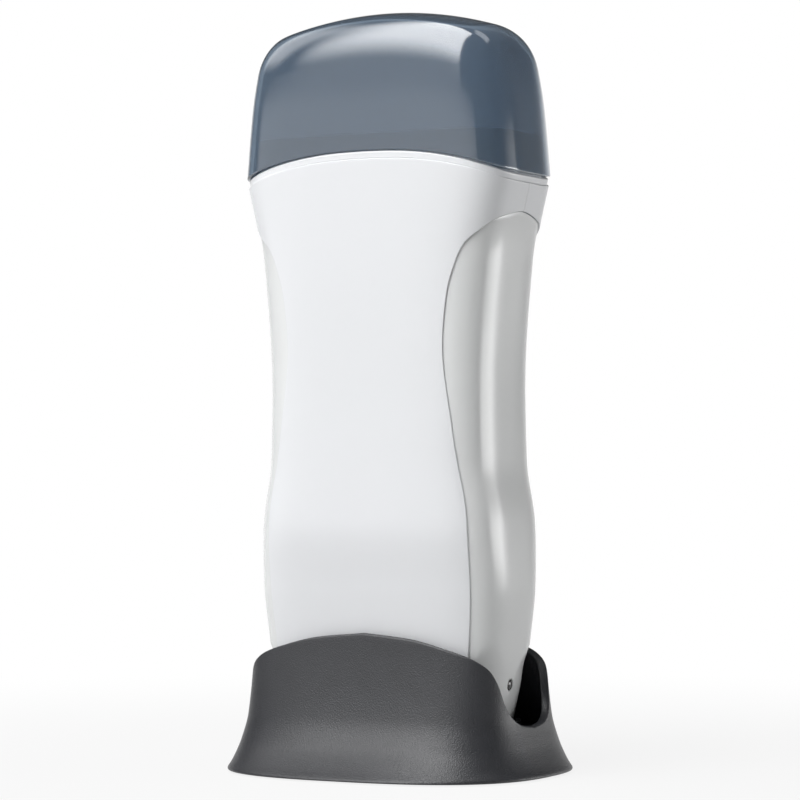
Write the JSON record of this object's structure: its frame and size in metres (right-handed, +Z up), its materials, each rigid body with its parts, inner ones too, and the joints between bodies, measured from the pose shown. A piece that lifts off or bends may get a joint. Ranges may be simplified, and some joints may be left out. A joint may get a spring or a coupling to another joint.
{
  "type": "roll-on wax heater",
  "caption": "Waisted hand-held roll-on wax cartridge heater with a tinted lift-off cap, standing in a flared docking base with side notches.",
  "frame": {"origin": "on the table, under the middle of the base", "axes": "+Z up, -Y towards the broad front, +X towards the side panel that has the pilot light, cord gland towards +Y"},
  "size_m": [0.1058, 0.086, 0.2349],
  "materials": {
    "base_plastic": "fine-grained dark grey plastic",
    "rubber": "soft black rubber",
    "screw_steel": "zinc-plated steel",
    "black_plastic": "black plastic",
    "contact_brass": "plated brass",
    "white_plastic": "smooth pale grey plastic",
    "panel_plastic": "satin pale grey plastic",
    "collar_plastic": "glossy pale plastic",
    "sleeve_aluminium": "drawn aluminium",
    "heat_plastic": "heat-resistant grey plastic",
    "heater_ceramic": "ceramic",
    "band_steel": "spring steel",
    "insulation": "mica sheet",
    "sensor_metal": "pressed metal",
    "board": "green board",
    "led_plastic": "red cast plastic",
    "lens_plastic": "clear plastic",
    "wire_silicone": "silicone-covered wire",
    "cap_plastic": "tinted translucent plastic"
  },
  "bodies": {
    "base": {"base_shell": "base_plastic", "base_bottom_plate": "base_plastic", "base_feet": "rubber", "base_screws": "screw_steel", "dock_tray": "base_plastic", "dock_connector": "black_plastic", "dock_pins": "contact_brass", "cord_gland": "rubber"},
    "heater": {"front_shell": "white_plastic", "rear_shell": "white_plastic", "side_panel_left": "panel_plastic", "side_panel_right": "panel_plastic", "collar": "collar_plastic", "bottom_cover": "white_plastic", "cover_screws": "screw_steel", "contact_sockets": "contact_brass", "heating_sleeve": "sleeve_aluminium", "chamber_floor": "heat_plastic", "ptc_heater_left": "heater_ceramic", "ptc_heater_right": "heater_ceramic", "clamp_band": "band_steel", "insulation_front": "insulation", "insulation_rear": "insulation", "thermostat": "sensor_metal", "thermal_fuse": "heater_ceramic", "circuit_board": "board", "board_screws": "screw_steel", "pilot_led": "led_plastic", "led_lens": "lens_plastic", "power_wires": "wire_silicone"},
    "cap": {"cap": "cap_plastic"}
  },
  "joints": [
    {"name": "heater_lift", "type": "slide", "parent": "base", "child": "heater", "axis": [0, 0, 1], "range_m": [0, 0.06]},
    {"name": "cap_lift", "type": "slide", "parent": "heater", "child": "cap", "axis": [0, 0, 1], "range_m": [0, 0.03]}
  ]
}
